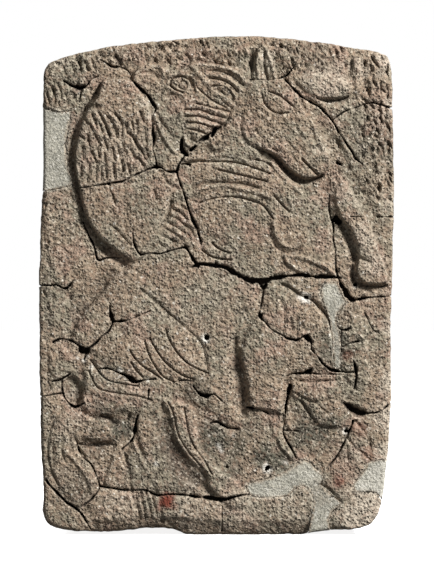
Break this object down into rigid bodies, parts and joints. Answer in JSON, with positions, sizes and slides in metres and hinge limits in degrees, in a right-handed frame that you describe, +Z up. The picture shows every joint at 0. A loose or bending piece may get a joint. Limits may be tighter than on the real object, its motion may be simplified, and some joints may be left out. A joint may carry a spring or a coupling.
{
  "type": "orthostat relief",
  "caption": "Upright basalt slab carved in low relief with a lion attacking a bull, broken, rejoined and filled with lime mortar.",
  "frame": {"origin": "bottom centre of the slab's box, on the level of the foot that it stands on", "axes": "+Z up, along the slab's height; the carved face looks along -Y; +X to the right of a viewer who faces the carving"},
  "size_m": [0.498, 0.2, 0.7],
  "materials": {
    "basalt": "grainy brown-grey basalt, pecked and weathered",
    "lime_mortar": "pale grey lime mortar, fine and matt"
  },
  "bodies": {
    "root": {"stone_slab": "basalt", "mortar_left_edge": "lime_mortar", "mortar_lower_band": "lime_mortar", "mortar_right_edge": "lime_mortar", "mortar_flank": "lime_mortar", "mortar_thigh": "lime_mortar"}
  },
  "joints": []
}
